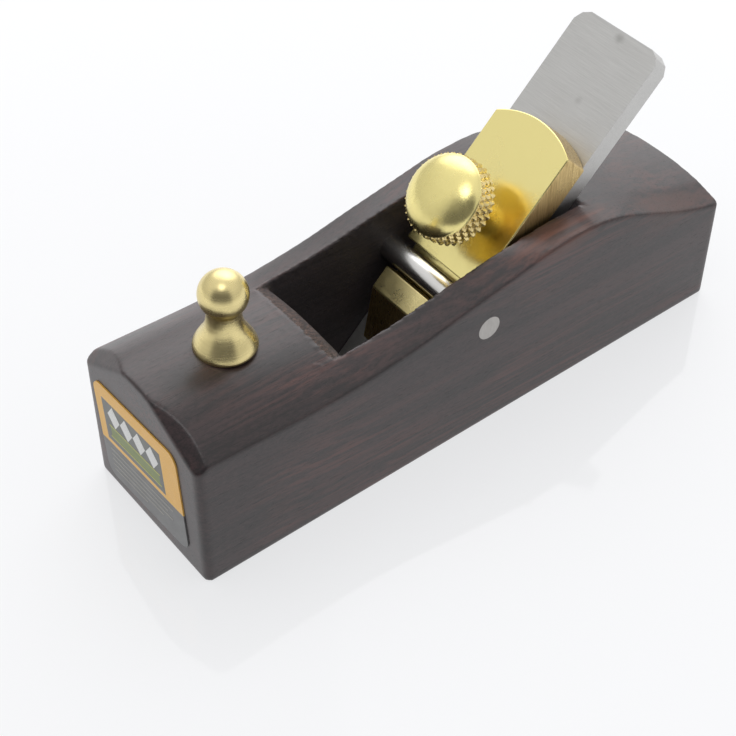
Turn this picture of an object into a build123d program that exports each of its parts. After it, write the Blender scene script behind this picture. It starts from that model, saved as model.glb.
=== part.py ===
from build123d import *
import math
import os

os.makedirs("parts", exist_ok=True)

# Small wooden hand plane, millimetres.  The sole rests on z = 0, +X points to the toe
# (the cutting direction), +Y to the left side and +Z up.

# ---- wooden stock -------------------------------------------------------------------
stock_length = 100.0
stock_width = 28.5
corner_round = 1.2          # upright corners of the toe and the heel
arris_ease = 0.8            # worn edge between each side and the arched top

# station along the stock, height of the side edge, rise of the arched top above it
stock_profile = [
    (-50.0, 18.4, 2.4),
    (-42.0, 21.0, 2.2),
    (-34.0, 24.5, 1.8),
    (-27.0, 27.4, 1.4),
    (-21.0, 28.6, 1.2),
    (-14.0, 28.3, 1.4),
    (-6.0, 27.1, 2.0),
    (3.0, 25.6, 2.7),
    (12.0, 23.9, 3.3),
    (22.0, 22.8, 3.8),
    (27.0, 22.6, 4.3),
    (31.5, 22.6, 4.7),
    (36.0, 22.7, 5.0),
    (40.5, 22.9, 5.15),
    (45.5, 23.1, 5.3),
    (50.0, 23.3, 5.4),
]

# ---- throat -------------------------------------------------------------------------
bed_angle = 44.0            # slope of the bed that carries the iron
throat_width = 18.3
throat_shift = 0.3          # the mortise sits a little left of the middle
mouth_front = 14.0          # front edge of the mouth on the sole
front_wall_angle = 71.5
toe_edge_start = (22.2, 24.6)   # where the throat's toe edge is eased, x and z
toe_edge_slope = 38.0

# ---- distances measured square to the bed, from a plane through the origin -----------
bed_level = 5.10
iron_thickness = 3.5
face_gap = 0.05             # clearance between faces that slide on each other
cap_top_level = 14.35

# ---- iron ---------------------------------------------------------------------------
iron_width = 17.0
iron_shift = -0.25
iron_top_end = 60.7         # distance up the bed
edge_height = 0.1           # the cutting edge is drawn up just clear of the ground
grind_angle = 30.0
edge_land = 0.12
iron_corner = 2.4

# ---- cross pin ----------------------------------------------------------------------
pin_diameter = 4.0
pin_x, pin_z = -1.06, 19.85
pin_chamfer = 0.3

# ---- lever cap ----------------------------------------------------------------------
cap_width = 15.8
cap_shift = 1.1
nose_start = 0.2            # toe end of the nose where it meets the iron
nose_top = 8.2              # front edge of the flat strip on top of the nose
groove_start = 12.05
groove_end = 17.5
groove_floor = 11.47
cap_end = 43.15
cap_end_radius = 14.45
relief_start = 4.0          # behind this the underside is relieved, so only the nose bears
relief_at_end = 0.3

# ---- lever screw --------------------------------------------------------------------
screw_station = 26.45
screw_shift = 0.8
thread_diameter = 5.0
running_gap = 0.05          # radial clearance of turning and sliding shafts
head_diameter = 13.3
head_underside = 19.5
head_thickness = 3.8
rim_round = 0.35
dome_diameter = 12.4
dome_height = 2.4
shank_depth_in_head = 2.6

# ---- front knob ---------------------------------------------------------------------
knob_x, knob_y = 35.45, 0.35   # the knob stands a little left of the middle
knob_seat = 27.6
knob_base_radius = 4.6
knob_neck_radius = 2.5
knob_neck_height = 5.5
ball_radius = 3.55
ball_height = 9.6
stud_diameter = 3.0
stud_in_wood = 10.0
stud_in_knob = 6.5

# ---- label on the toe ---------------------------------------------------------------
label_width = 21.2
label_height = 18.8
label_middle = (-0.9, 12.1)
label_round = 2.0
label_thickness = 0.3

slope = math.radians(bed_angle)
iron_bottom = bed_level + face_gap
iron_top = iron_bottom + iron_thickness
cap_bottom = iron_top + face_gap


def side_plane(y):
    """Plane whose local x is +X and local y is +Z, facing -Y, placed at y."""
    return Plane(origin=(0, y, 0), x_dir=(1, 0, 0), z_dir=(0, -1, 0))


def bed_point(along, above):
    """World x and z of a point given along the bed and square to it."""
    x = -along * math.cos(slope) + above * math.sin(slope)
    z = along * math.sin(slope) + above * math.cos(slope)
    return x, z


def bed_plane(level, y=0.0):
    """Plane parallel to the bed: local x runs up the slope, local z points off it."""
    x, z = bed_point(0.0, level)
    up = (-math.cos(slope), 0, math.sin(slope))
    normal = (math.sin(slope), 0, math.cos(slope))
    return Plane(origin=(x, y, z), x_dir=up, z_dir=normal)


def side_prism(points, middle, width, mode=Mode.ADD):
    """Extrude a profile given in x and z across the width, about y = middle."""
    with BuildSketch(side_plane(middle)) as profile:
        with BuildLine():
            Polyline(*points, close=True)
        make_face()
    extrude(profile.sketch, amount=width / 2, both=True, mode=mode)


def stock_section(station, side_height, rise):
    """Cross-section of the stock: flat sole, upright sides, arched top."""
    half = stock_width / 2
    top_edge = half - arris_ease
    with BuildSketch(Plane(origin=(station, 0, 0), x_dir=(0, 1, 0), z_dir=(1, 0, 0))) as section:
        with BuildLine():
            Polyline((-top_edge, side_height + 0.1 * rise), (-half, side_height - arris_ease),
                     (-half, 0), (half, 0), (half, side_height - arris_ease),
                     (top_edge, side_height + 0.1 * rise))
            ThreePointArc((top_edge, side_height + 0.1 * rise), (0, side_height + rise),
                          (-top_edge, side_height + 0.1 * rise))
        make_face()
    return section.sketch


# ---- stock: the arched billet, then the throat, pin hole and stud hole ----------------
bed_foot = bed_level / math.sin(slope)
bed_head = (bed_foot - 45 / math.tan(slope), 45)
wall_head = (mouth_front + 45 / math.tan(math.radians(front_wall_angle)), 45)
ease_x, ease_z = toe_edge_start
ease_run = 12.0

with BuildPart() as stock:
    loft([stock_section(*station) for station in stock_profile])
    with BuildSketch(Plane.XY):
        RectangleRounded(stock_length, stock_width, corner_round)
    extrude(amount=45, mode=Mode.INTERSECT)
    side_prism([(bed_foot, 0), (bed_foot + 1.0, -1.0), (mouth_front - 0.4, -1.0), (mouth_front, 0),
                wall_head, bed_head], throat_shift, throat_width, Mode.SUBTRACT)
    side_prism([(ease_x, ease_z),
                (ease_x + ease_run, ease_z + ease_run * math.tan(math.radians(toe_edge_slope))),
                (ease_x, ease_z + 20)], throat_shift, throat_width, Mode.SUBTRACT)
    with Locations(Plane(origin=(pin_x, 0, pin_z), x_dir=(1, 0, 0), z_dir=(0, 1, 0))):
        Cylinder(pin_diameter / 2 + running_gap, stock_width + 2, mode=Mode.SUBTRACT)
    with Locations((knob_x, knob_y, knob_seat - stud_in_wood)):
        Cylinder(stud_diameter / 2 + running_gap, stud_in_wood + 5,
                 align=(Align.CENTER, Align.CENTER, Align.MIN), mode=Mode.SUBTRACT)
    # flat counterbore so that the turned foot of the knob sits square on the arched top
    with Locations((knob_x, knob_y, knob_seat)):
        Cylinder(knob_base_radius + 0.1, 5,
                 align=(Align.CENTER, Align.CENTER, Align.MIN), mode=Mode.SUBTRACT)
stock.part.label = "stock"
export_step(stock.part, "parts/stock.step")

# ---- cross pin: a plain steel rod driven through both cheeks --------------------------
with BuildPart() as cross_pin:
    with Locations(Plane(origin=(pin_x, 0, pin_z), x_dir=(1, 0, 0), z_dir=(0, 1, 0))):
        Cylinder(pin_diameter / 2, stock_width)
    chamfer(cross_pin.edges().filter_by(GeomType.CIRCLE), pin_chamfer)
cross_pin.part.label = "cross_pin"
export_step(cross_pin.part, "parts/cross_pin.step")

# ---- iron: thick plate with clipped top corners, ground on the bed side ---------------
iron_edge = (edge_height - iron_top * math.cos(slope)) / math.sin(slope)
grind_run = (iron_thickness - edge_land) / math.tan(math.radians(grind_angle))
with BuildPart() as iron:
    side_prism([bed_point(iron_edge, iron_top),
                bed_point(iron_top_end, iron_top),
                bed_point(iron_top_end, iron_bottom),
                bed_point(iron_edge + grind_run, iron_bottom),
                bed_point(iron_edge, iron_top - edge_land)], iron_shift, iron_width)
    corners = iron.edges().filter_by(
        lambda e: (e % 0.5).cross(bed_plane(0).z_dir).length < 1e-3
        and e.center().Z > bed_point(iron_top_end - 1, iron_bottom)[1])
    chamfer(corners, iron_corner)
iron.part.label = "iron"
export_step(iron.part, "parts/iron.step")

# ---- lever cap: brass block with a nose, a groove under the pin and an arched end ------
with BuildPart() as lever_cap:
    side_prism([bed_point(nose_start, cap_bottom),
                bed_point(nose_top, cap_top_level),
                bed_point(groove_start, cap_top_level),
                bed_point(groove_start, groove_floor),
                bed_point(groove_end, groove_floor),
                bed_point(groove_end, cap_top_level),
                bed_point(cap_end, cap_top_level),
                bed_point(cap_end, cap_bottom + relief_at_end),
                bed_point(relief_start, cap_bottom)], cap_shift, cap_width)
    with BuildSketch(bed_plane(0, cap_shift)):
        with Locations((cap_end - cap_end_radius, 0)):
            Circle(cap_end_radius)
        with Locations((cap_end - cap_end_radius - 25, 0)):
            Rectangle(50, 3 * cap_width)
    extrude(amount=30, mode=Mode.INTERSECT)
    with BuildSketch(bed_plane(0, screw_shift)):
        with Locations((screw_station, 0)):
            Circle(thread_diameter / 2)
    extrude(amount=30, mode=Mode.SUBTRACT)
lever_cap.part.label = "lever_cap"
export_step(lever_cap.part, "parts/lever_cap.step")

# ---- lever screw: shank bearing on the iron, knurled and domed head -------------------
shank_bottom = iron_top + face_gap
shank_top = head_underside + shank_depth_in_head
with BuildPart() as screw_shank:
    with BuildSketch(bed_plane(shank_bottom, screw_shift)):
        with Locations((screw_station, 0)):
            Circle(thread_diameter / 2 - running_gap)
    extrude(amount=shank_top - shank_bottom)
    chamfer(screw_shank.edges().filter_by(GeomType.CIRCLE), 0.4)
screw_shank.part.label = "screw_shank"
export_step(screw_shank.part, "parts/screw_shank.step")

head_radius = head_diameter / 2
dome_radius = dome_diameter / 2
dome_sphere = (dome_radius ** 2 + dome_height ** 2) / (2 * dome_height)
dome_shoulder = math.sqrt(dome_sphere ** 2 - dome_radius ** 2 / 4) - dome_sphere + dome_height
bore_radius = thread_diameter / 2
bore_depth = shank_depth_in_head + face_gap
axis_x, axis_z = bed_point(screw_station, head_underside)
head_profile = Plane(origin=(axis_x, screw_shift, axis_z), x_dir=(0, 1, 0),
                     z_dir=(math.cos(slope), 0, -math.sin(slope)))
with BuildPart() as screw_knob:
    with BuildSketch(head_profile):
        with BuildLine():
            Polyline((0, head_thickness + dome_height), (0, bore_depth), (bore_radius, bore_depth),
                     (bore_radius, 0), (head_radius - rim_round, 0), (head_radius, rim_round),
                     (head_radius, head_thickness - rim_round),
                     (head_radius - rim_round, head_thickness), (dome_radius, head_thickness))
            ThreePointArc((dome_radius, head_thickness),
                          (dome_radius / 2, head_thickness + dome_shoulder),
                          (0, head_thickness + dome_height))
        make_face()
    revolve(axis=Axis((axis_x, screw_shift, axis_z), (math.sin(slope), 0, math.cos(slope))))
screw_knob.part.label = "screw_knob"
export_step(screw_knob.part, "parts/screw_knob.step")

# ---- front knob: turned brass, flared foot, narrow neck and a ball ---------------------
neck_meets_ball = ball_height - math.sqrt(ball_radius ** 2 - knob_neck_radius ** 2)
with BuildPart() as front_knob:
    with BuildSketch(Plane(origin=(knob_x, knob_y, knob_seat), x_dir=(1, 0, 0), z_dir=(0, -1, 0))):
        with BuildLine():
            Polyline((0, ball_height + ball_radius), (0, stud_in_knob + face_gap),
                     (stud_diameter / 2 + running_gap, stud_in_knob + face_gap),
                     (stud_diameter / 2 + running_gap, 0), (knob_base_radius - 0.3, 0),
                     (knob_base_radius, 0.3), (knob_base_radius, 0.8))
            Spline((knob_base_radius, 0.8), (knob_base_radius - 1.1, 2.6),
                   (knob_neck_radius + 0.1, knob_neck_height - 0.6),
                   (knob_neck_radius, neck_meets_ball))
            ThreePointArc((knob_neck_radius, neck_meets_ball), (ball_radius, ball_height),
                          (0, ball_height + ball_radius))
        make_face()
    revolve(axis=Axis((knob_x, knob_y, 0), (0, 0, 1)))
front_knob.part.label = "front_knob"
export_step(front_knob.part, "parts/front_knob.step")

with BuildPart() as knob_stud:
    with Locations((knob_x, knob_y, knob_seat - stud_in_wood + face_gap)):
        Cylinder(stud_diameter / 2, stud_in_wood + stud_in_knob - face_gap,
                 align=(Align.CENTER, Align.CENTER, Align.MIN))
    chamfer(knob_stud.edges().filter_by(GeomType.CIRCLE), 0.4)
knob_stud.part.label = "knob_stud"
export_step(knob_stud.part, "parts/knob_stud.step")

# ---- label: thin plate on the toe -----------------------------------------------------
label_y, label_z = label_middle
with BuildPart() as toe_label:
    with BuildSketch(Plane(origin=(stock_length / 2, label_y, label_z),
                           x_dir=(0, 1, 0), z_dir=(1, 0, 0))):
        RectangleRounded(label_width, label_height, label_round)
    extrude(amount=label_thickness)
toe_label.part.label = "toe_label"
export_step(toe_label.part, "parts/toe_label.step")
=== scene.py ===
import bpy, bmesh
import math
from mathutils import Matrix, Vector


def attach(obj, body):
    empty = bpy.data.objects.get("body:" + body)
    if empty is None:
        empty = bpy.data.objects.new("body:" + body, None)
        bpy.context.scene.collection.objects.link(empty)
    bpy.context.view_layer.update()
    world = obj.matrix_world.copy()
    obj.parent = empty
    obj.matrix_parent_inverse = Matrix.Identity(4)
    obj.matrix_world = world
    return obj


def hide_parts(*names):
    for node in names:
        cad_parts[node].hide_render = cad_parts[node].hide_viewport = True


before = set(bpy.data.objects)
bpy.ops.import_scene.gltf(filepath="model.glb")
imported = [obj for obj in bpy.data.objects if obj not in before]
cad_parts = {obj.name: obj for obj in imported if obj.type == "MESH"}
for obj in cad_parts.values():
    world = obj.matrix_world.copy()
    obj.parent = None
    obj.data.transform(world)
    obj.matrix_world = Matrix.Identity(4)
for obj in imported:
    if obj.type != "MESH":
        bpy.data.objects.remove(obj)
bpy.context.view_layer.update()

MM = 0.001                        # sizes below are in millimetres
BED = math.radians(44.0)          # slope of the bed that carries the iron
BED_LEVEL = 5.10                  # the bed's face, measured square to the slope
IRON_UNDER, IRON_FACE = 5.15, 8.65
HALF_LENGTH, CHEEK = 50.0, 14.25  # half the stock's length and width
THROAT_RIGHT, THROAT_LEFT = -8.85, 9.45
MOUTH_FRONT = 14.0                # front edge of the mouth, on the sole
FRONT_WALL = math.radians(71.5)   # lean of the throat's front wall


# ---------------------------------------------------------------- bench tools

def drop_selection():
    """Nothing selected, object mode."""
    if bpy.context.object and bpy.context.object.mode != "OBJECT":
        bpy.ops.object.mode_set(mode="OBJECT")
    bpy.ops.object.select_all(action="DESELECT")


def hold(piece):
    """Only this piece selected and active."""
    drop_selection()
    piece.select_set(True)
    bpy.context.view_layer.objects.active = piece


def pick_faces(piece, test):
    """In edit mode, select the faces whose centre and normal pass the test."""
    bpy.ops.mesh.select_mode(type="FACE")
    bpy.ops.mesh.select_all(action="DESELECT")
    work = bmesh.from_edit_mesh(piece.data)
    for face in work.faces:
        if test(face.calc_center_median() / MM, face.normal):
            face.select_set(True)
    bmesh.update_edit_mesh(piece.data)


def pick_edges(piece, test):
    """In edit mode, select the edges whose two ends pass the test."""
    bpy.ops.mesh.select_mode(type="EDGE")
    bpy.ops.mesh.select_all(action="DESELECT")
    work = bmesh.from_edit_mesh(piece.data)
    for edge in work.edges:
        if test(edge.verts[0].co / MM, edge.verts[1].co / MM):
            edge.select_set(True)
    bmesh.update_edit_mesh(piece.data)


def block(name, low, high):
    """A rectangular billet between two corners, in millimetres."""
    drop_selection()
    middle = [(a + b) / 2 * MM for a, b in zip(low, high)]
    size = [(b - a) * MM for a, b in zip(low, high)]
    bpy.ops.mesh.primitive_cube_add(size=1, location=middle, scale=size)
    piece = bpy.context.object
    piece.name = piece.data.name = name
    settle(piece)
    return piece


def settle(piece):
    """Bake the piece's place into its mesh, so that its object sits at the origin."""
    hold(piece)
    bpy.ops.object.transform_apply(location=True, rotation=True, scale=True)


def saw(piece, point, normal):
    """Cut the piece by a plane in millimetres and throw away the side the normal points to."""
    hold(piece)
    bpy.ops.object.mode_set(mode="EDIT")
    bpy.ops.mesh.select_all(action="SELECT")
    bpy.ops.mesh.bisect(plane_co=[c * MM for c in point], plane_no=normal, use_fill=True,
                        clear_outer=True, threshold=1e-7)
    bpy.ops.object.mode_set(mode="OBJECT")


def run_modifier(piece, kind, **settings):
    """Add one modifier and apply it at once."""
    hold(piece)
    mod = piece.modifiers.new(kind.lower(), kind)
    for key, value in settings.items():
        setattr(mod, key, value)
    bpy.ops.object.modifier_apply(modifier=mod.name)


def cut_with(piece, tool, how="DIFFERENCE"):
    """Boolean the tool into the piece and throw the tool away."""
    run_modifier(piece, "BOOLEAN", object=tool, operation=how, solver="EXACT")
    bpy.data.objects.remove(tool, do_unlink=True)


def break_edges(piece, width, segments):
    """Ease every edge sharper than 30 degrees by a width in millimetres."""
    run_modifier(piece, "BEVEL", width=width * MM, segments=segments, limit_method="ANGLE",
                 angle_limit=math.radians(30), use_clamp_overlap=True, harden_normals=False)


def round_corners(piece, test, width, segments, profile=0.5):
    """Round the edges that pass the test, by a width in millimetres."""
    hold(piece)
    bpy.ops.object.mode_set(mode="EDIT")
    pick_edges(piece, test)
    bpy.ops.mesh.bevel(offset=width * MM, segments=segments, profile=profile)
    bpy.ops.object.mode_set(mode="OBJECT")


def divide(piece, cuts):
    """Cut every edge of the piece into equal parts."""
    hold(piece)
    bpy.ops.object.mode_set(mode="EDIT")
    bpy.ops.mesh.select_all(action="SELECT")
    bpy.ops.mesh.subdivide(number_cuts=cuts)
    bpy.ops.object.mode_set(mode="OBJECT")


def smooth(piece, angle):
    """Shade smooth, apart from edges sharper than an angle in degrees."""
    hold(piece)
    bpy.ops.object.shade_smooth_by_angle(angle=math.radians(angle))


def turn(name, profile, segments):
    """Turn a profile of (radius, height) pairs in millimetres about the local Z axis."""
    drop_selection()
    radius, height = profile[0]
    bpy.ops.mesh.primitive_circle_add(vertices=segments, radius=radius * MM, fill_type="NGON",
                                      location=(0, 0, height * MM))
    piece = bpy.context.object
    piece.name = piece.data.name = name
    settle(piece)
    bpy.ops.object.mode_set(mode="EDIT")
    bpy.ops.mesh.select_mode(type="FACE")
    bpy.ops.mesh.select_all(action="SELECT")
    for next_radius, next_height in profile[1:]:
        bpy.ops.mesh.extrude_region_move(
            TRANSFORM_OT_translate={"value": (0, 0, (next_height - height) * MM)})
        scale = next_radius / radius
        bpy.ops.transform.resize(value=(scale, scale, 1), center_override=(0, 0, next_height * MM))
        radius, height = next_radius, next_height
    bpy.ops.mesh.select_all(action="SELECT")
    bpy.ops.mesh.normals_make_consistent(inside=False)
    bpy.ops.object.mode_set(mode="OBJECT")
    return piece


def set_up(piece, along, across, above):
    """Move a piece turned about local Z onto the bed: along the slope, across, off the bed."""
    piece.rotation_euler = (0, BED, 0)
    piece.location = off_the_bed(along, across, above) * MM
    settle(piece)


def off_the_bed(along, across, above):
    """Place in the frame's axes of a point given up the slope, across it and off the bed."""
    return Vector((-along * math.cos(BED) + above * math.sin(BED), across,
                   along * math.sin(BED) + above * math.cos(BED)))


def lay_on_bed(piece):
    """A piece modelled with X down the slope and Z off the bed is turned into place."""
    piece.rotation_euler = (0, BED, 0)
    settle(piece)


def finish_piece(piece, body, slot, *nodes):
    """Say what carries the piece and the plain solids it stands in for; the slot is not used."""
    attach(piece, body)
    if nodes:
        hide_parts(*nodes)


# ---------------------------------------------------------------- shader tools

def new_material(name):
    """New material, with its node tree and its Principled shader."""
    made = bpy.data.materials.new(name)
    made.use_nodes = True
    tree = made.node_tree
    return made, tree, tree.nodes["Principled BSDF"]


def put(tree, kind, settings=None, **inputs):
    """Add a node; inputs are numbers, colours or sockets, by socket name with _ for a space."""
    node = tree.nodes.new(kind)
    for key, value in (settings or {}).items():
        setattr(node, key, value)
    for key, value in inputs.items():
        socket = node.inputs[int(key[1:])] if key[0] == "i" and key[1:].isdigit() \
            else node.inputs[key.replace("_", " ")]
        if isinstance(value, bpy.types.NodeSocket):
            tree.links.new(value, socket)
        else:
            socket.default_value = value
    return node


def maths(tree, what, a, b=0.0, c=0.0, clamp=False):
    return put(tree, "ShaderNodeMath", {"operation": what, "use_clamp": clamp},
               i0=a, i1=b, i2=c).outputs[0]


def ramp(tree, fac, *stops):
    """Colour ramp from (place, colour or grey) stops."""
    node = put(tree, "ShaderNodeValToRGB", i0=fac)
    band = node.color_ramp
    while len(band.elements) < len(stops):
        band.elements.new(0.5)
    for element, (place, colour) in zip(band.elements, stops):
        element.position = place
        grey = not isinstance(colour, (tuple, list))
        element.color = (colour, colour, colour, 1) if grey else (*colour, 1)
    return node.outputs[0]


def mix(tree, fac, a, b, how="MIX"):
    node = put(tree, "ShaderNodeMix", {"data_type": "RGBA", "blend_type": how})
    for index, value in ((0, fac), (6, a), (7, b)):
        socket = node.inputs[index]
        if isinstance(value, bpy.types.NodeSocket):
            tree.links.new(value, socket)
        else:
            socket.default_value = value if index == 0 else (*value, 1)[:4]
    return node.outputs[2]


def new_group(name, ins, outs):
    """Shader node group with named inputs and outputs; returns it with its two end nodes."""
    tree = bpy.data.node_groups.new(name, "ShaderNodeTree")
    for side, sockets in (("INPUT", ins), ("OUTPUT", outs)):
        for label, kind, value in sockets:
            socket = tree.interface.new_socket(label, in_out=side, socket_type="NodeSocket" + kind)
            if value is not None:
                socket.default_value = value
    return tree, tree.nodes.new("NodeGroupInput"), tree.nodes.new("NodeGroupOutput")


def place_group(tree, group, **inputs):
    return put(tree, "ShaderNodeGroup", {"node_tree": group}, **inputs)


def noise(tree, vector, scale, detail=3.0, rough=0.55):
    return put(tree, "ShaderNodeTexNoise", Vector=vector, Scale=scale, Detail=detail,
               Roughness=rough).outputs[0]


def stretched(tree, vector, scale, rotation=(0, 0, 0)):
    return put(tree, "ShaderNodeMapping", Vector=vector, Scale=scale, Rotation=rotation).outputs[0]


# ---------------------------------------------------------------- shared effects

def rosewood_figure_group():
    """Solid dark rosewood: growth bands along X, fine dark lines and short open pores."""
    tree, gin, gout = new_group(
        "rosewood_figure",
        [("Dark", "Color", (0.02, 0.014, 0.013, 1)), ("Body", "Color", (0.05, 0.033, 0.03, 1)),
         ("Red", "Color", (0.10, 0.045, 0.033, 1)), ("Redness", "Float", 0.4),
         ("Pore depth", "Float", 1.0)],
        [("Color", "Color", None), ("Roughness", "Float", None), ("Height", "Float", None)])
    where = put(tree, "ShaderNodeTexCoord").outputs["Object"]
    lean = [math.radians(angle) for angle in (9, 4, -2)]      # the grain doesn't run quite true
    tilted = stretched(tree, where, (1000, 1000, 1000), lean)
    sway = noise(tree, stretched(tree, tilted, (0.018, 0.05, 0.05)), 1.0, 2.0)
    moved = put(tree, "ShaderNodeVectorMath", {"operation": "MULTIPLY_ADD"}, i0=sway,
                i1=(0.0, 5.0, 5.0), i2=tilted).outputs[0]
    broad = noise(tree, stretched(tree, moved, (0.008, 0.22, 0.30)), 1.0, 3.0, 0.6)
    narrow = noise(tree, stretched(tree, moved, (0.016, 1.1, 1.5)), 1.0, 4.0, 0.62)
    lines = noise(tree, stretched(tree, moved, (0.014, 2.2, 2.9)), 1.0, 3.0, 0.55)
    patches = noise(tree, stretched(tree, moved, (0.03, 0.09, 0.11)), 1.0, 2.0)
    speckle = noise(tree, stretched(tree, tilted, (1.1, 2.6, 2.6)), 1.0, 4.0, 0.65)
    bands = maths(tree, "MULTIPLY_ADD", narrow, 0.30, maths(tree, "MULTIPLY", broad, 0.45))
    bands = maths(tree, "MULTIPLY_ADD", speckle, 0.42, bands)
    colour = mix(tree, ramp(tree, bands, (0.50, 0.0), (0.66, 1.0)),
                 gin.outputs["Dark"], gin.outputs["Body"])
    red = maths(tree, "MULTIPLY", ramp(tree, patches, (0.42, 0.0), (0.66, 1.0)),
                maths(tree, "MULTIPLY", ramp(tree, narrow, (0.44, 0.0), (0.62, 1.0)),
                      gin.outputs["Redness"]))
    colour = mix(tree, red, colour, gin.outputs["Red"])
    streak = ramp(tree, lines, (0.30, 0.58), (0.44, 1.0))
    colour = mix(tree, 1.0, colour, streak, "MULTIPLY")
    dashes = noise(tree, stretched(tree, tilted, (0.55, 6.5, 6.5)), 1.0, 1.0, 0.4)
    pores = ramp(tree, dashes, (0.29, 0.0), (0.37, 1.0))
    colour = mix(tree, 1.0, colour, ramp(tree, pores, (0.0, 0.55), (1.0, 1.0)), "MULTIPLY")
    rough = maths(tree, "MULTIPLY_ADD", narrow, 0.16, 0.36)
    rough = maths(tree, "MULTIPLY_ADD", pores, -0.12, maths(tree, "ADD", rough, 0.12), clamp=True)
    fibre = noise(tree, stretched(tree, tilted, (0.25, 9.0, 9.0)), 1.0, 2.0, 0.5)
    high = maths(tree, "MULTIPLY_ADD", pores, gin.outputs["Pore depth"],
                 maths(tree, "MULTIPLY", fibre, 0.35))
    tree.links.new(colour, gout.inputs["Color"])
    tree.links.new(rough, gout.inputs["Roughness"])
    tree.links.new(high, gout.inputs["Height"])
    return tree


def metal_scratch_group():
    """Fine lines left by an abrasive, along one axis, with a few deeper ones and a dull mottling."""
    tree, gin, gout = new_group(
        "metal_scratches",
        [("Vector", "Vector", None), ("Fine", "Float", 1.0), ("Mottle", "Float", 1.0)],
        [("Height", "Float", None), ("Shade", "Float", None), ("Dullness", "Float", None)])
    vector = gin.outputs["Vector"]
    fine = noise(tree, vector, 1.0, 4.0, 0.7)
    deep = noise(tree, stretched(tree, vector, (0.45, 0.45, 0.45)), 1.0, 1.0, 0.4)
    deep = ramp(tree, deep, (0.27, 0.0), (0.33, 1.0))
    where = put(tree, "ShaderNodeTexCoord").outputs["Object"]
    cloud = noise(tree, where, 260.0, 3.0, 0.6)
    shade = maths(tree, "MULTIPLY_ADD", maths(tree, "SUBTRACT", fine, 0.5), gin.outputs["Fine"], 0.5)
    high = maths(tree, "MULTIPLY_ADD", deep, 0.35, shade)
    dull = maths(tree, "MULTIPLY", maths(tree, "SUBTRACT", cloud, 0.5), gin.outputs["Mottle"])
    tree.links.new(high, gout.inputs["Height"])
    tree.links.new(shade, gout.inputs["Shade"])
    tree.links.new(dull, gout.inputs["Dullness"])
    return tree


def worn_edge_group():
    """Mask of convex edges, broken up so that it isn't even."""
    tree, gin, gout = new_group(
        "worn_edges", [("Amount", "Float", 1.0), ("Grain", "Float", 900.0)],
        [("Mask", "Float", None)])
    point = put(tree, "ShaderNodeNewGeometry").outputs["Pointiness"]
    edge = ramp(tree, point, (0.52, 0.0), (0.60, 1.0))
    where = put(tree, "ShaderNodeTexCoord").outputs["Object"]
    patchy = noise(tree, where, gin.outputs["Grain"], 3.0, 0.6)
    mask = maths(tree, "MULTIPLY", edge, ramp(tree, patchy, (0.35, 0.2), (0.6, 1.0)))
    tree.links.new(maths(tree, "MULTIPLY", mask, gin.outputs["Amount"], clamp=True),
                   gout.inputs["Mask"])
    return tree


ROSEWOOD = rosewood_figure_group()
SCRATCHES = metal_scratch_group()
WORN = worn_edge_group()


def patch_mask(tree, where, middle, radii, full, gone, amount):
    """Soft-edged ellipsoid in millimetres, broken up by the grain."""
    near = put(tree, "ShaderNodeVectorMath", {"operation": "MULTIPLY_ADD"}, i0=where,
               i1=[1000 / r for r in radii], i2=[-m / r for m, r in zip(middle, radii)]).outputs[0]
    reach = put(tree, "ShaderNodeVectorMath", {"operation": "LENGTH"}, i0=near).outputs["Value"]
    ragged = noise(tree, stretched(tree, where, (90, 700, 700)), 1.0, 3.0, 0.6)
    reach = maths(tree, "MULTIPLY_ADD", ragged, 0.8, maths(tree, "SUBTRACT", reach, 0.4))
    return ramp(tree, reach, (full, amount), (gone, 0.0))


def bump(tree, height, strength, distance):
    return put(tree, "ShaderNodeBump", Height=height, Strength=strength,
               Distance=distance * MM).outputs[0]


def oiled_rosewood():
    made, tree, shader = new_material("oiled_rosewood")
    figure = place_group(tree, ROSEWOOD, Dark=(0.012, 0.0068, 0.0076, 1),
                         Body=(0.0375, 0.0205, 0.0215, 1), Red=(0.098, 0.039, 0.033, 1),
                         Redness=0.75, Pore_depth=0.8)
    # warm patches on the left cheek, over the hump and at the heel, and a small knot
    where = put(tree, "ShaderNodeTexCoord").outputs["Object"]
    streaks = noise(tree, stretched(tree, where, (45, 900, 900)), 1.0, 4.0, 0.6)
    warm = mix(tree, ramp(tree, streaks, (0.40, 0.0), (0.60, 1.0)), (0.035, 0.0125, 0.009),
               (0.150, 0.046, 0.025))
    colour = mix(tree, patch_mask(tree, where, (-17, 11.8, 28), (11, 3.6, 2.6), 0.45, 1.0, 0.85),
                 figure.outputs["Color"], warm)
    colour = mix(tree, patch_mask(tree, where, (-39, 12.2, 22), (13, 2.7, 6), 0.6, 1.0, 0.45),
                 colour, (0.085, 0.030, 0.018))
    knot = patch_mask(tree, where, (-22.6, 14.1, 27.6), (1.2, 1.2, 0.75), 0.5, 1.0, 0.9)
    colour = mix(tree, knot, colour, (0.012, 0.005, 0.004))
    # painted reflection: a dark patch on top between the knob and the toe, in place of the knob's
    # dark reflection in the oiled top
    colour = mix(tree, patch_mask(tree, where, (44.2, 2.7, 28), (4.5, 2.8, 3), 0.35, 1.0, 0.8),
                 colour, (0.006, 0.0035, 0.004))
    worn = place_group(tree, WORN, Amount=0.12).outputs["Mask"]
    colour = mix(tree, worn, colour, (0.10, 0.075, 0.07))
    tree.links.new(colour, shader.inputs["Base Color"])
    tree.links.new(figure.outputs["Roughness"], shader.inputs["Roughness"])
    tree.links.new(bump(tree, figure.outputs["Height"], 0.35, 0.06), shader.inputs["Normal"])
    shader.inputs["Specular IOR Level"].default_value = 0.42
    shader.inputs["Coat Weight"].default_value = 0.42
    shader.inputs["Coat Roughness"].default_value = 0.25
    return made


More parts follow.
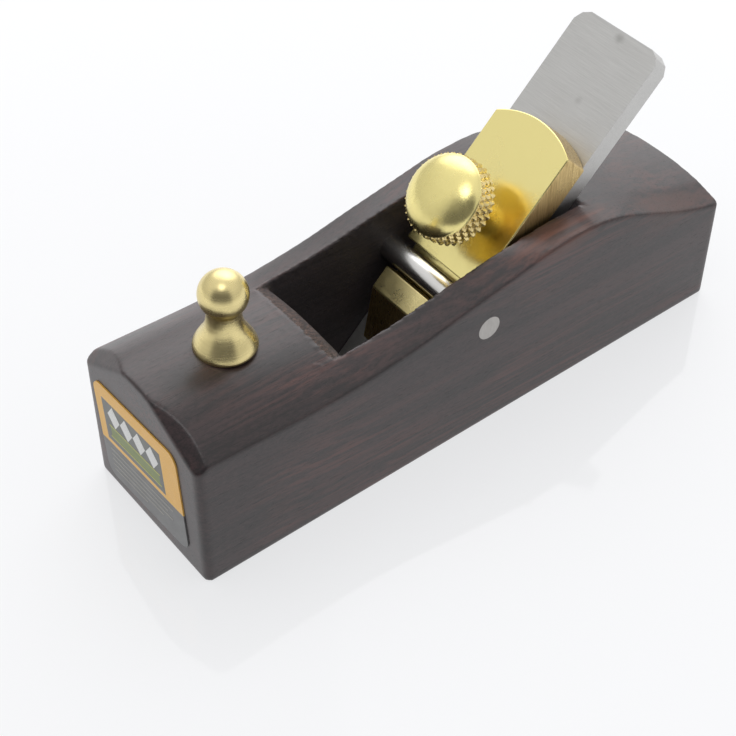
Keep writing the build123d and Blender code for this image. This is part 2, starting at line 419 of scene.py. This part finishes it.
def raw_rosewood():
    """Sawn and chiselled wood inside the throat, torn and brown along its toe edge."""
    made, tree, shader = new_material("raw_rosewood")
    figure = place_group(tree, ROSEWOOD, Dark=(0.037, 0.032, 0.035, 1),
                         Body=(0.054, 0.044, 0.048, 1), Red=(0.07, 0.046, 0.042, 1),
                         Redness=0.3, Pore_depth=1.2)
    where = put(tree, "ShaderNodeTexCoord").outputs["Object"]
    saw_marks = noise(tree, stretched(tree, where, (160, 160, 900), (0, math.radians(20), 0)), 1.0,
                      3.0, 0.6)
    torn = noise(tree, stretched(tree, where, (1400, 2600, 1400)), 1.0, 4.0, 0.7)
    along = put(tree, "ShaderNodeSeparateXYZ", Vector=where).outputs["X"]
    lip = put(tree, "ShaderNodeMapRange", i0=along, i1=0.0218, i2=0.0236).outputs[0]
    fibres = mix(tree, ramp(tree, torn, (0.42, 0.0), (0.70, 1.0)), (0.020, 0.0125, 0.011),
                 (0.15, 0.085, 0.065))
    colour = mix(tree, lip, figure.outputs["Color"], fibres)
    tree.links.new(colour, shader.inputs["Base Color"])
    tree.links.new(maths(tree, "MULTIPLY_ADD", saw_marks, 0.3, 0.42), shader.inputs["Roughness"])
    high = maths(tree, "MULTIPLY_ADD", maths(tree, "MULTIPLY", torn, lip), 3.0,
                 maths(tree, "MULTIPLY_ADD", saw_marks, 0.8, figure.outputs["Height"]))
    tree.links.new(bump(tree, high, 0.6, 0.08), shader.inputs["Normal"])
    shader.inputs["Specular IOR Level"].default_value = 0.5
    return made


def metal(name, base, dark, rough, spread, direction, height, mottle, fine=1.0, tint=0.5):
    """A metal with abrasive lines.

    base and dark are its two colours, rough its mean roughness and spread how far that varies.
    direction gives the lines per metre along each axis, and height their depth in millimetres.
    """
    made, tree, shader = new_material(name)
    where = put(tree, "ShaderNodeTexCoord").outputs["Object"]
    vector = stretched(tree, where, direction["scale"], direction.get("turn", (0, 0, 0)))
    marks = place_group(tree, SCRATCHES, Vector=vector, Fine=fine, Mottle=mottle)
    colour = mix(tree, maths(tree, "MULTIPLY", marks.outputs["Shade"], tint), base, dark)
    tree.links.new(colour, shader.inputs["Base Color"])
    level = maths(tree, "MULTIPLY_ADD", marks.outputs["Shade"], spread, rough - spread / 2)
    level = maths(tree, "ADD", level, marks.outputs["Dullness"], clamp=True)
    tree.links.new(level, shader.inputs["Roughness"])
    tree.links.new(bump(tree, marks.outputs["Height"], 0.5, height), shader.inputs["Normal"])
    shader.inputs["Metallic"].default_value = 1.0
    return made


# which way the abrasive went: lines per metre along each axis, turned to lie on the slope
ALONG_BED = {"scale": (150, 9000, 9000), "turn": (0, -BED, 0)}
ACROSS_BED = {"scale": (5200, 150, 5200), "turn": (0, -BED, 0)}
FILED_ACROSS = {"scale": (4200, 2500, 260), "turn": (0, -BED, 0)}

WOOD = oiled_rosewood()
THROAT_WOOD = raw_rosewood()
CAP_BRASS = metal("satin_brass", (0.95, 0.84, 0.37), (0.84, 0.71, 0.27), 0.23, 0.10, ALONG_BED,
                  0.010, 0.4)
CAP_SIDE_BRASS = metal("sawn_brass", (0.86, 0.66, 0.31), (0.36, 0.24, 0.09), 0.34, 0.2,
                       FILED_ACROSS, 0.05, 0.3, fine=2.4, tint=0.9)
NOSE_BRASS = metal("scuffed_brass", (0.98, 0.85, 0.42), (0.72, 0.57, 0.25), 0.34, 0.2,
                   {"scale": (3800, 3800, 3800), "turn": (0, -BED, 0)}, 0.004, 0.4, fine=1.8)
DOME_BRASS = metal("polished_brass", (0.93, 0.82, 0.355), (0.72, 0.61, 0.23), 0.27, 0.12,
                   {"scale": (420, 420, 420)}, 0.08, 0.4)
KNURL_BRASS = metal("knurled_brass", (0.88, 0.72, 0.34), (0.68, 0.52, 0.22), 0.28, 0.1,
                    {"scale": (2500, 2500, 2500)}, 0.01, 0.2)
TURNED_BRASS = metal("turned_brass", (0.84, 0.72, 0.36), (0.56, 0.45, 0.20), 0.28, 0.1,
                     {"scale": (60, 60, 6500)}, 0.035, 0.2)
IRON_STEEL = metal("ground_steel", (0.635, 0.63, 0.614), (0.38, 0.377, 0.37), 0.42, 0.18,
                   ACROSS_BED, 0.02, 0.2, fine=1.6)
PIN_STEEL = metal("bright_steel", (0.80, 0.79, 0.77), (0.62, 0.61, 0.59), 0.24, 0.1,
                  {"scale": (9000, 250, 9000)}, 0.01, 0.12)
PIN_END_STEEL = metal("filed_steel", (0.52, 0.50, 0.48), (0.30, 0.29, 0.28), 0.5, 0.2,
                      {"scale": (2600, 2600, 500)}, 0.03, 0.2)


def smudge(material, middle, radii, amount, colour):
    """Dull spot on a metal, as fingers leave."""
    tree = material.node_tree
    shader = tree.nodes["Principled BSDF"]
    where = put(tree, "ShaderNodeTexCoord").outputs["Object"]
    before = shader.inputs["Base Color"].links[0].from_socket
    mask = patch_mask(tree, where, middle, radii, 0.2, 1.0, amount)
    tree.links.new(mix(tree, mask, before, colour), shader.inputs["Base Color"])


smudge(IRON_STEEL, (-36.8, 0.2, 47.6), (0.9, 1.2, 0.9), 0.6, (0.33, 0.325, 0.31))
smudge(IRON_STEEL, (-29.1, 0.6, 40.1), (0.8, 0.8, 0.8), 0.4, (0.38, 0.37, 0.36))


def printed(name, colour):
    """Ink on film: a faint print grain, and a soft gloss that varies."""
    made, tree, shader = new_material(name)
    where = put(tree, "ShaderNodeTexCoord").outputs["Object"]
    grain = noise(tree, where, 5200.0, 2.0)
    cloud = noise(tree, where, 420.0, 2.0)
    dark = [c * 0.86 for c in colour]
    tree.links.new(mix(tree, ramp(tree, grain, (0.35, 0.0), (0.65, 1.0)), dark, colour),
                   shader.inputs["Base Color"])
    tree.links.new(maths(tree, "MULTIPLY_ADD", cloud, 0.2, 0.35), shader.inputs["Roughness"])
    tree.links.new(bump(tree, cloud, 0.15, 0.03), shader.inputs["Normal"])
    shader.inputs["Coat Weight"].default_value = 0.2
    shader.inputs["Coat Roughness"].default_value = 0.25
    return made


LABEL_ORANGE = printed("label_orange", (0.88, 0.49, 0.085))
LABEL_GREY = printed("label_grey", (0.15, 0.15, 0.15))
LABEL_CHARCOAL = printed("label_charcoal", (0.13, 0.135, 0.125))
LABEL_WHITE = printed("label_white", (0.80, 0.80, 0.78))
LABEL_GREEN = printed("label_green", (0.19, 0.24, 0.06))
LABEL_LIME = printed("label_lime", (0.55, 0.55, 0.10))
LABEL_RULE = printed("label_rule_ink", (0.30, 0.29, 0.26))


# ---------------------------------------------------------------- stock

PROFILE = [  # station, height of the side edge, rise of the arched top above it
    (-50, 18.4, 2.4), (-42, 21.0, 2.2), (-34, 24.5, 1.8), (-27, 27.4, 1.4), (-21, 28.6, 1.2),
    (-14, 28.3, 1.4), (-6, 27.1, 2.0), (3, 25.6, 2.7), (12, 23.9, 3.3), (22, 22.8, 3.8),
    (27, 22.6, 4.3), (31.5, 22.6, 4.7), (36, 22.7, 5.0), (40.5, 22.9, 5.15), (45.5, 23.1, 5.3),
    (50, 23.3, 5.4)]


def eased(x, column):
    """Smooth curve through one column of the profile."""
    x = max(-HALF_LENGTH, min(HALF_LENGTH, x))
    k = max(i for i in range(len(PROFILE) - 1) if PROFILE[i][0] <= x)
    last = len(PROFILE) - 1
    before, here, there, after = (PROFILE[max(0, min(last, k + j))] for j in (-1, 0, 1, 2))
    span = there[0] - here[0]
    t = (x - here[0]) / span
    slope_here = (there[column] - before[column]) / max(1e-6, there[0] - before[0]) * span
    slope_there = (after[column] - here[column]) / max(1e-6, after[0] - here[0]) * span
    return ((2 * t ** 3 - 3 * t ** 2 + 1) * here[column] + (t ** 3 - 2 * t ** 2 + t) * slope_here
            + (3 * t ** 2 - 2 * t ** 3) * there[column] + (t ** 3 - t ** 2) * slope_there)


SHOULDER = 9.2 / CHEEK            # where the heel's flat shoulder starts, out from the middle
SHOULDER_FADES, SHOULDER_ENDS = -34.0, -26.0
RIDGE = 0.30                      # height of the low ridge that crosses each cheek at the hump
TOE_EDGE_SLOPE = 0.5              # of the chamfer on the throat's toe edge
CHIP_REACH = 0.9                  # how far from the throat's edges the chips go


def toe_lip(y):
    """Station of the throat's toe edge, which bows back towards the cheeks."""
    return 24.95 - 0.8 * (y / 9) ** 2


def top_height(x, y):
    """Arched top, with a flat shoulder along each edge of the heel and a low ridge at the hump."""
    out = min(1.08, abs(y) / CHEEK)
    arch = 1 - out ** 2
    fade = max(0.0, (x - SHOULDER_FADES) / (SHOULDER_ENDS - SHOULDER_FADES))
    turn_in = SHOULDER + fade * (1 - SHOULDER)
    if turn_in < 0.999 and x < SHOULDER_ENDS:
        level = (1 - turn_in ** 2) * 1.10
        if out > turn_in:
            arch = level * (1 - out) / (1 - turn_in)
        else:
            arch = level + (1 - level) * (1 - (out / turn_in) ** 2)
    across = (x + 5.3 + 1.52 * (abs(y) - 9.5)) / 1.82
    ridge = RIDGE * math.exp(-abs(across) / 4.0) if abs(y) > 7 else 0.0
    return eased(x, 1) + eased(x, 2) * arch + ridge


def model_stock():
    """The stock, sawn and chiselled from one billet."""
    rough_height = 20.0
    stock = block("plane_stock", (-50.6, -14.9, 0), (50.6, 14.9, rough_height))
    divide(stock, 55)
    for vert in stock.data.vertices:
        x, y = vert.co.x / MM, vert.co.y / MM
        vert.co.z *= top_height(x, y) / rough_height

    footprint = block("footprint", (-HALF_LENGTH, -CHEEK, -5), (HALF_LENGTH, CHEEK, 45))
    round_corners(footprint, lambda a, b: abs(a.z - b.z) > 10, 1.2, 6)
    cut_with(stock, footprint, "INTERSECT")

    throat = block("throat_tool", (-60, THROAT_RIGHT, -2), (60, THROAT_LEFT, 60))
    saw(throat, (BED_LEVEL / math.sin(BED), 0, 0), (-math.sin(BED), 0, -math.cos(BED)))
    saw(throat, (MOUTH_FRONT, 0, 0), (math.sin(FRONT_WALL), 0, -math.cos(FRONT_WALL)))
    cut_with(stock, throat)

    # the throat's toe edge is chamfered by hand, following the arch
    foot, head = 20, 40
    ease = block("toe_edge_tool", (20.5, THROAT_RIGHT, foot), (27.5, THROAT_LEFT, head))
    divide(ease, 15)
    for vert in ease.data.vertices:
        x, y, z = vert.co / MM
        lip = toe_lip(y)
        low = top_height(lip, y) + (x - lip) * TOE_EDGE_SLOPE
        vert.co.z = (low + (z - foot) / (head - foot) * (head - low)) * MM
    cut_with(stock, ease)

    # two facets clip the arch at the toe
    for side in (1, -1):
        saw(stock, (50, 3.3 * side, 28.3), Vector((13.15, 11.16 * side, 19.44)).normalized())

    run_modifier(stock, "REMESH", mode="VOXEL", voxel_size=0.30 * MM)
    run_modifier(stock, "SMOOTH", factor=0.5, iterations=4)

    # the throat's top edges are a little chipped, where the chisel broke out the grain
    edges = stock.vertex_groups.new(name="chipped")
    for vert in stock.data.vertices:
        x, y, z = vert.co / MM
        if -24 < x < 27 and z > top_height(x, y) - 1.6:
            near = min(abs(y - THROAT_RIGHT), abs(y - THROAT_LEFT))
            if x > 22 and THROAT_RIGHT < y < THROAT_LEFT:
                near = min(near, abs(x - toe_lip(y)))
            if near < CHIP_REACH:
                edges.add([vert.index], 1.0 - near / CHIP_REACH, "REPLACE")
    clouds = bpy.data.textures.new("chips", "CLOUDS")
    clouds.noise_scale = 0.8 * MM
    clouds.noise_depth = 3
    run_modifier(stock, "DISPLACE", texture=clouds, texture_coords="LOCAL", strength=-0.30 * MM,
                 mid_level=0.60, vertex_group="chipped")
    stock.vertex_groups.clear()
    run_modifier(stock, "DECIMATE", ratio=0.55)

    stock.data.materials.append(WOOD)
    stock.data.materials.append(THROAT_WOOD)
    for face in stock.data.polygons:
        x, y, z = face.center / MM
        over_bed = math.sin(BED) * x + math.cos(BED) * z > BED_LEVEL - 0.5
        behind_lip = x < toe_lip(y)
        margin = 0.08 if x > toe_lip(y) - 3 else 0.25
        deep = 0.3 < z < top_height(x, y) - margin
        between_cheeks = THROAT_RIGHT - 0.3 < y < THROAT_LEFT + 0.3
        if over_bed and behind_lip and deep and between_cheeks:
            face.material_index = 1
    smooth(stock, 60)
    finish_piece(stock, "stock_body", "stock_wood", "stock")


# ---------------------------------------------------------------- iron

def model_iron():
    """Thick iron, modelled flat with its edge towards +X, then laid on the bed."""
    edge, land, grind = 8.81, 0.08, math.radians(30)
    iron = block("plane_iron", (-60.7, -8.75, IRON_UNDER), (edge, 8.25, IRON_FACE))
    round_corners(iron, lambda a, b: abs(a.z - b.z) > 2 and a.x < -50, 2.15, 2, profile=0.42)
    saw(iron, (edge, 0, IRON_FACE - land), (math.sin(grind), 0, -math.cos(grind)))
    break_edges(iron, 0.14, 2)
    lay_on_bed(iron)
    iron.data.materials.append(IRON_STEEL)
    smooth(iron, 40)
    run_modifier(iron, "WEIGHTED_NORMAL", keep_sharp=True)
    finish_piece(iron, "iron_body", "iron_steel", "iron")


# ---------------------------------------------------------------- lever cap

def model_lever_cap():
    """Brass block with a round end, modelled flat with its nose towards +X."""
    centre, middle, radius, half_width = -28.7, 1.1, 14.45, 7.9
    drop_selection()
    bpy.ops.mesh.primitive_cylinder_add(vertices=192, radius=radius * MM, depth=5.65 * MM,
                                        location=(centre * MM, middle * MM, 11.525 * MM))
    cap = bpy.context.object
    cap.name = cap.data.name = "lever_cap_block"
    settle(cap)
    saw(cap, (0, middle + half_width, 0), (0, 1, 0))
    saw(cap, (0, middle - half_width, 0), (0, -1, 0))
    saw(cap, (centre - 1, 0, 0), (1, 0, 0))
    hold(cap)
    bpy.ops.object.mode_set(mode="EDIT")
    pick_faces(cap, lambda c, n: n.x > 0.95 and c.x > centre - 1.1)
    bpy.ops.mesh.extrude_region_move(
        TRANSFORM_OT_translate={"value": ((-0.2 - centre + 1) * MM, 0, 0)})
    bpy.ops.object.mode_set(mode="OBJECT")
    # nose bevel, relief under the cap and the groove for the pin
    saw(cap, (-0.2, 0, 8.70), Vector((5.65, 0, 8.0)).normalized())
    saw(cap, (-4.0, 0, 8.70), Vector((-0.3, 0, -39.15)).normalized())
    cut_with(cap, block("groove_tool", (-17.5, -20, 11.47), (-12.05, 20, 30)))
    break_edges(cap, 0.24, 3)
    lay_on_bed(cap)
    cap.data.materials.append(CAP_BRASS)
    cap.data.materials.append(CAP_SIDE_BRASS)
    cap.data.materials.append(NOSE_BRASS)
    up = Vector((math.sin(BED), 0, math.cos(BED)))
    for face in cap.data.polygons:
        level = face.normal.dot(up)
        along = (face.center.x * math.cos(BED) - face.center.z * math.sin(BED)) / MM
        nose_bevel = 0.80 < level < 0.83 and face.area > 20 * MM * MM
        if level < 0.3 or nose_bevel:
            face.material_index = 1
        elif along > -12.1:
            face.material_index = 2
    smooth(cap, 40)
    run_modifier(cap, "WEIGHTED_NORMAL", keep_sharp=True)
    finish_piece(cap, "cap_body", "cap_brass", "lever_cap")


# ---------------------------------------------------------------- lever screw

SCREW_ALONG, SCREW_ACROSS = 26.45, 0.8
HEAD_FOOT, HEAD_RIM = 19.5, 3.85


def model_screw_shank():
    """Shank of the lever screw, with its thread's crests as rings, one to each pitch."""
    crest, root, pitch = 2.43, 2.02, 0.8
    profile = [(0.6, 8.72), (2.0, 8.8), (2.35, 9.15)]
    height = 9.4
    while height < 19.3:
        profile += [(crest, height), (crest, height + 0.1),
                    (root, height + 0.42), (root, height + 0.5)]
        height += pitch
    profile += [(2.42, 19.6), (2.42, 21.9), (0.5, 22.1)]
    shank = turn("screw_thread", profile, 48)
    set_up(shank, SCREW_ALONG, SCREW_ACROSS, 0)
    shank.data.materials.append(KNURL_BRASS)
    smooth(shank, 25)
    finish_piece(shank, "shank_body", "screw_brass", "screw_shank")


def model_screw_head():
    """Domed head; its knurl is a mesh of long diamonds, whose points alternate round the rim."""
    bumps, outer, root, diamond = 36, 6.68, 6.24, 2.55
    dome, rise, dome_foot = 6.24, 2.45, HEAD_RIM + 0.1
    profile = [(2.55, 2.6), (2.55, 0.02), (3.0, 0.0), (5.6, 0.0), (6.05, 0.05), (6.22, 0.2)]
    rows = 18
    rings = [0.36 + (HEAD_RIM - 0.46) * k / rows for k in range(rows + 1)]
    profile += [(root, h) for h in rings]
    profile += [(6.32, HEAD_RIM - 0.05), (6.36, HEAD_RIM), (6.3, HEAD_RIM + 0.07)]
    steps = 22
    for k in range(1, steps):
        out = math.sin(math.pi / 2 * (1 - k / steps))
        profile.append((dome * out, dome_foot + rise * (1 - out ** 2.3) ** 0.72))
    profile.append((0.12, dome_foot + rise))
    head = turn("screw_head", profile, bumps * 6)
    for vert in head.data.vertices:
        x, y, z = vert.co / MM
        if rings[0] - 0.02 < z < rings[-1] + 0.02 and math.hypot(x, y) > 6.2:
            round_it = math.atan2(y, x) / (2 * math.pi) * bumps
            up_it = (z - 0.42) / diamond
            one = abs((round_it + up_it) % 1.0 - 0.5) * 2
            other = abs((round_it - up_it) % 1.0 - 0.5) * 2
            high = min(1.0, 1.45 * min(one, other))
            scale = (root + (outer - root) * high) / root
            vert.co.x *= scale
            vert.co.y *= scale
    head.data.materials.append(DOME_BRASS)
    head.data.materials.append(KNURL_BRASS)
    for face in head.data.polygons:
        if face.center.z / MM < HEAD_RIM - 0.06:
            face.material_index = 1
    set_up(head, SCREW_ALONG, SCREW_ACROSS, HEAD_FOOT)
    smooth(head, 16)
    finish_piece(head, "head_body", "screw_brass", "screw_knob")


# ---------------------------------------------------------------- front knob and cross pin

def model_front_knob():
    """Turned knob: a flared foot, a neck and a ball."""
    seat, ball, middle = 27.6, 3.55, 9.5
    profile = [(1.6, 0.0), (4.3, 0.0), (4.52, 0.1), (4.6, 0.3), (4.6, 0.55), (4.5, 0.85),
               (4.32, 1.25), (4.05, 1.75), (3.74, 2.25), (3.42, 2.75), (3.12, 3.3), (2.86, 3.9),
               (2.68, 4.5), (2.56, 5.1), (2.50, 5.6), (2.48, 6.1), (2.50, 6.6)]
    start = math.asin(2.55 / ball)
    steps = 26
    for k in range(steps):
        a = math.pi - start - (math.pi - start) * k / steps
        profile.append((ball * math.sin(a), middle + ball * math.cos(a)))
    profile.append((0.1, middle + ball))
    knob = turn("turned_knob", profile, 96)
    # it was screwed in by eye and leans about a degree and a half
    knob.rotation_euler = (math.radians(-0.85), math.radians(-1.2), 0)
    knob.location = (35.45 * MM, 0.35 * MM, seat * MM)
    settle(knob)
    knob.data.materials.append(TURNED_BRASS)
    smooth(knob, 50)
    finish_piece(knob, "stock_body", "knob_brass", "front_knob")


def model_cross_pin():
    """Steel pin through both cheeks, its ends filed flush."""
    half = 14.29
    pin = turn("steel_pin", [(1.82, -half), (1.97, -half + 0.04), (2.0, -half + 0.12),
                             (2.0, half - 0.12), (1.97, half - 0.04), (1.82, half)], 96)
    pin.rotation_euler = (math.radians(90), 0, 0)
    pin.location = (-1.06 * MM, 0, 19.85 * MM)
    settle(pin)
    pin.data.materials.append(PIN_STEEL)
    pin.data.materials.append(PIN_END_STEEL)
    for face in pin.data.polygons:
        if abs(face.center.y) > 14.2 * MM:
            face.material_index = 1
    smooth(pin, 30)
    finish_piece(pin, "stock_body", "pin_steel", "cross_pin")


# ---------------------------------------------------------------- label

def model_label():
    """Film label on the toe: an orange field with a charcoal panel over a grey field."""
    right, left, foot, head, face = -11.5, 9.7, 2.7, 21.5, 50.2
    label = block("toe_label_film", (50.0, right, foot), (face, left, head))
    round_corners(label, lambda a, b: abs(a.x - b.x) > 0.1, 2.0, 8)
    grey_top = 10.1
    panel_right, panel_left, panel_foot, panel_head = -9.7, 5.5, 10.9, 19.0
    strip_right, strip_left, strip_foot, strip_head = -8.4, 4.4, 12.0, 14.2
    cuts = [((0, 0, z), (0, 0, 1)) for z in (grey_top, panel_foot, panel_head)]
    cuts += [((0, y, 0), (0, 1, 0)) for y in (panel_right, panel_left)]
    cuts += [((0, 0, z), (0, 0, 1)) for z in (strip_foot, strip_head)]
    cuts += [((0, y, 0), (0, 1, 0)) for y in (strip_right, strip_left)]
    hold(label)
    bpy.ops.object.mode_set(mode="EDIT")
    for point, normal in cuts:
        bpy.ops.mesh.select_all(action="SELECT")
        bpy.ops.mesh.bisect(plane_co=[c * MM for c in point], plane_no=normal, threshold=1e-7)
    bpy.ops.object.mode_set(mode="OBJECT")
    for ink in (LABEL_GREY, LABEL_ORANGE, LABEL_CHARCOAL, LABEL_GREEN):
        label.data.materials.append(ink)
    for part in label.data.polygons:
        _, y, z = part.center / MM
        on_panel = panel_foot < z < panel_head and panel_right < y < panel_left
        on_strip = strip_foot < z < strip_head and strip_right < y < strip_left
        if z > grey_top:
            part.material_index = 1
            if part.normal.x > 0.5 and on_panel:
                part.material_index = 3 if on_strip else 2

    # a plain row of diamonds and thin rules, in place of any lettering
    marks = []
    for k in range(4):
        diamond = block("label_diamond", (-0.012, -1.14, -1.14), (0.012, 1.14, 1.14))
        diamond.rotation_euler = (math.radians(45), 0, 0)
        settle(diamond)
        diamond.scale = (1, 1, 1.3)
        diamond.location = ((face + 0.014) * MM, (-6.9 + 3.35 * k) * MM, 16.55 * MM)
        settle(diamond)
        diamond.data.materials.append(LABEL_WHITE)
        marks.append(diamond)
    for row, length in enumerate((16.5, 15.0, 16.0, 13.5, 9.0)):
        start, height = -9.6, 8.6 - 1.05 * row
        rule = block("label_rule", (face, start, height),
                     (face + 0.02, start + length, height + 0.32))
        rule.data.materials.append(LABEL_RULE)
        marks.append(rule)
    for low, high in (((-8.6, 11.9), (4.7, 12.1)), ((-8.6, 14.1), (4.7, 14.3))):
        border = block("label_border", (face, *low), (face + 0.02, *high))
        border.data.materials.append(LABEL_LIME)
        marks.append(border)
    drop_selection()
    for mark in marks:
        mark.select_set(True)
    bpy.context.view_layer.objects.active = marks[0]
    bpy.ops.object.join()
    printed_marks = bpy.context.object
    printed_marks.name = printed_marks.data.name = "label_marks"
    # it was stuck on a few degrees out of true
    tilt = Matrix.Rotation(math.radians(3.6), 4, "X")
    middle = Matrix.Translation(Vector((0, -0.7, 12.1)) * MM)
    for part in (label, printed_marks):
        part.matrix_world = middle @ tilt @ middle.inverted()
        settle(part)
    finish_piece(label, "stock_body", "label_print", "toe_label")
    finish_piece(printed_marks, "stock_body", "label_print")


model_stock()
model_iron()
model_lever_cap()
model_screw_shank()
model_screw_head()
model_front_knob()
model_cross_pin()
model_label()

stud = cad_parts["knob_stud"]
stud.data.materials.clear()
stud.data.materials.append(PIN_STEEL)


# ---------------------------------------------------------------- floor, light, camera

def heading(azimuth, elevation):
    """Unit vector from compass angles in degrees: azimuth from +X towards +Y."""
    a, e = math.radians(azimuth), math.radians(elevation)
    return Vector((math.cos(a) * math.cos(e), math.sin(a) * math.cos(e), math.sin(e)))


def studio():
    """White table, soft surroundings, two softboxes and the camera."""
    scene = bpy.context.scene
    drop_selection()
    bpy.ops.mesh.primitive_plane_add(size=6.0, location=(0, 0, -0.00002))
    floor = bpy.context.object
    floor.name = "studio_floor"
    made, tree, shader = new_material("white_table")
    shader.inputs["Base Color"].default_value = (0.245, 0.247, 0.253, 1)
    shader.inputs["Roughness"].default_value = 0.06
    shader.inputs["Specular IOR Level"].default_value = 0.18
    shader.inputs["Emission Color"].default_value = (0.985, 0.99, 1.0, 1)
    # the table glows a little, to lift its shadows, but not in the dark under the sole
    where = put(tree, "ShaderNodeTexCoord").outputs["Object"]
    spot = put(tree, "ShaderNodeSeparateXYZ", Vector=where)
    beside = maths(tree, "MAXIMUM",
                   maths(tree, "GREATER_THAN", maths(tree, "ABSOLUTE", spot.outputs["X"]), 0.0485),
                   maths(tree, "GREATER_THAN", maths(tree, "ABSOLUTE", spot.outputs["Y"]), 0.0128))
    tree.links.new(maths(tree, "MULTIPLY", beside, 0.672), shader.inputs["Emission Strength"])
    floor.data.materials.append(made)

    world = bpy.data.worlds.new("studio")
    scene.world = world
    world.use_nodes = True
    tree = world.node_tree
    way = put(tree, "ShaderNodeTexCoord").outputs["Generated"]

    def patch(azimuth, elevation, inner, outer):
        """Soft round patch of the surroundings: one within the inner angle, zero past the outer."""
        near = put(tree, "ShaderNodeVectorMath", {"operation": "DOT_PRODUCT"}, i0=way,
                   i1=heading(azimuth, elevation)).outputs["Value"]
        return put(tree, "ShaderNodeMapRange", {"interpolation_type": "SMOOTHSTEP"}, i0=near,
                   i1=math.cos(math.radians(outer)), i2=math.cos(math.radians(inner))).outputs[0]

    high = put(tree, "ShaderNodeSeparateXYZ", Vector=way).outputs["Z"]
    sky = ramp(tree, high, (0.0, 0.62), (0.3, 0.70), (0.7, 0.86), (1.0, 0.90))
    sky = mix(tree, patch(-134, 37, 12, 40), sky, (2.4, 2.4, 2.42))
    sky = mix(tree, patch(48, 20, 36, 54), sky, (0.16, 0.16, 0.17))
    back = tree.nodes["Background"]
    tree.links.new(sky, back.inputs["Color"])
    back.inputs["Strength"].default_value = 1.0

    def softbox(name, azimuth, elevation, width, bright):
        """Round softbox a metre away; bright is its own radiance."""
        lamp = bpy.data.lights.new(name, "AREA")
        lamp.shape = "DISK"
        lamp.size = width
        lamp.energy = bright * math.pi * math.pi * (width / 2) ** 2
        holder = bpy.data.objects.new(name, lamp)
        scene.collection.objects.link(holder)
        holder.location = heading(azimuth, elevation)
        holder.rotation_euler = (-heading(azimuth, elevation)).to_track_quat("-Z", "Y").to_euler()

    softbox("key_softbox", 42, 69, 0.40, 2.6)
    softbox("fill_softbox", -150, 55, 0.5, 0.5)

    camera = bpy.data.cameras.new("camera")
    camera.lens = 80.105
    camera.sensor_width = 36
    camera.clip_start = 0.01
    holder = bpy.data.objects.new("camera", camera)
    scene.collection.objects.link(holder)
    holder.location = (0.1199166, 0.1389601, 0.1847271)
    holder.rotation_euler = [math.radians(a) for a in (44.9373, -0.1644, 141.8724)]
    scene.camera = holder
    scene.view_settings.view_transform = "Standard"


studio()
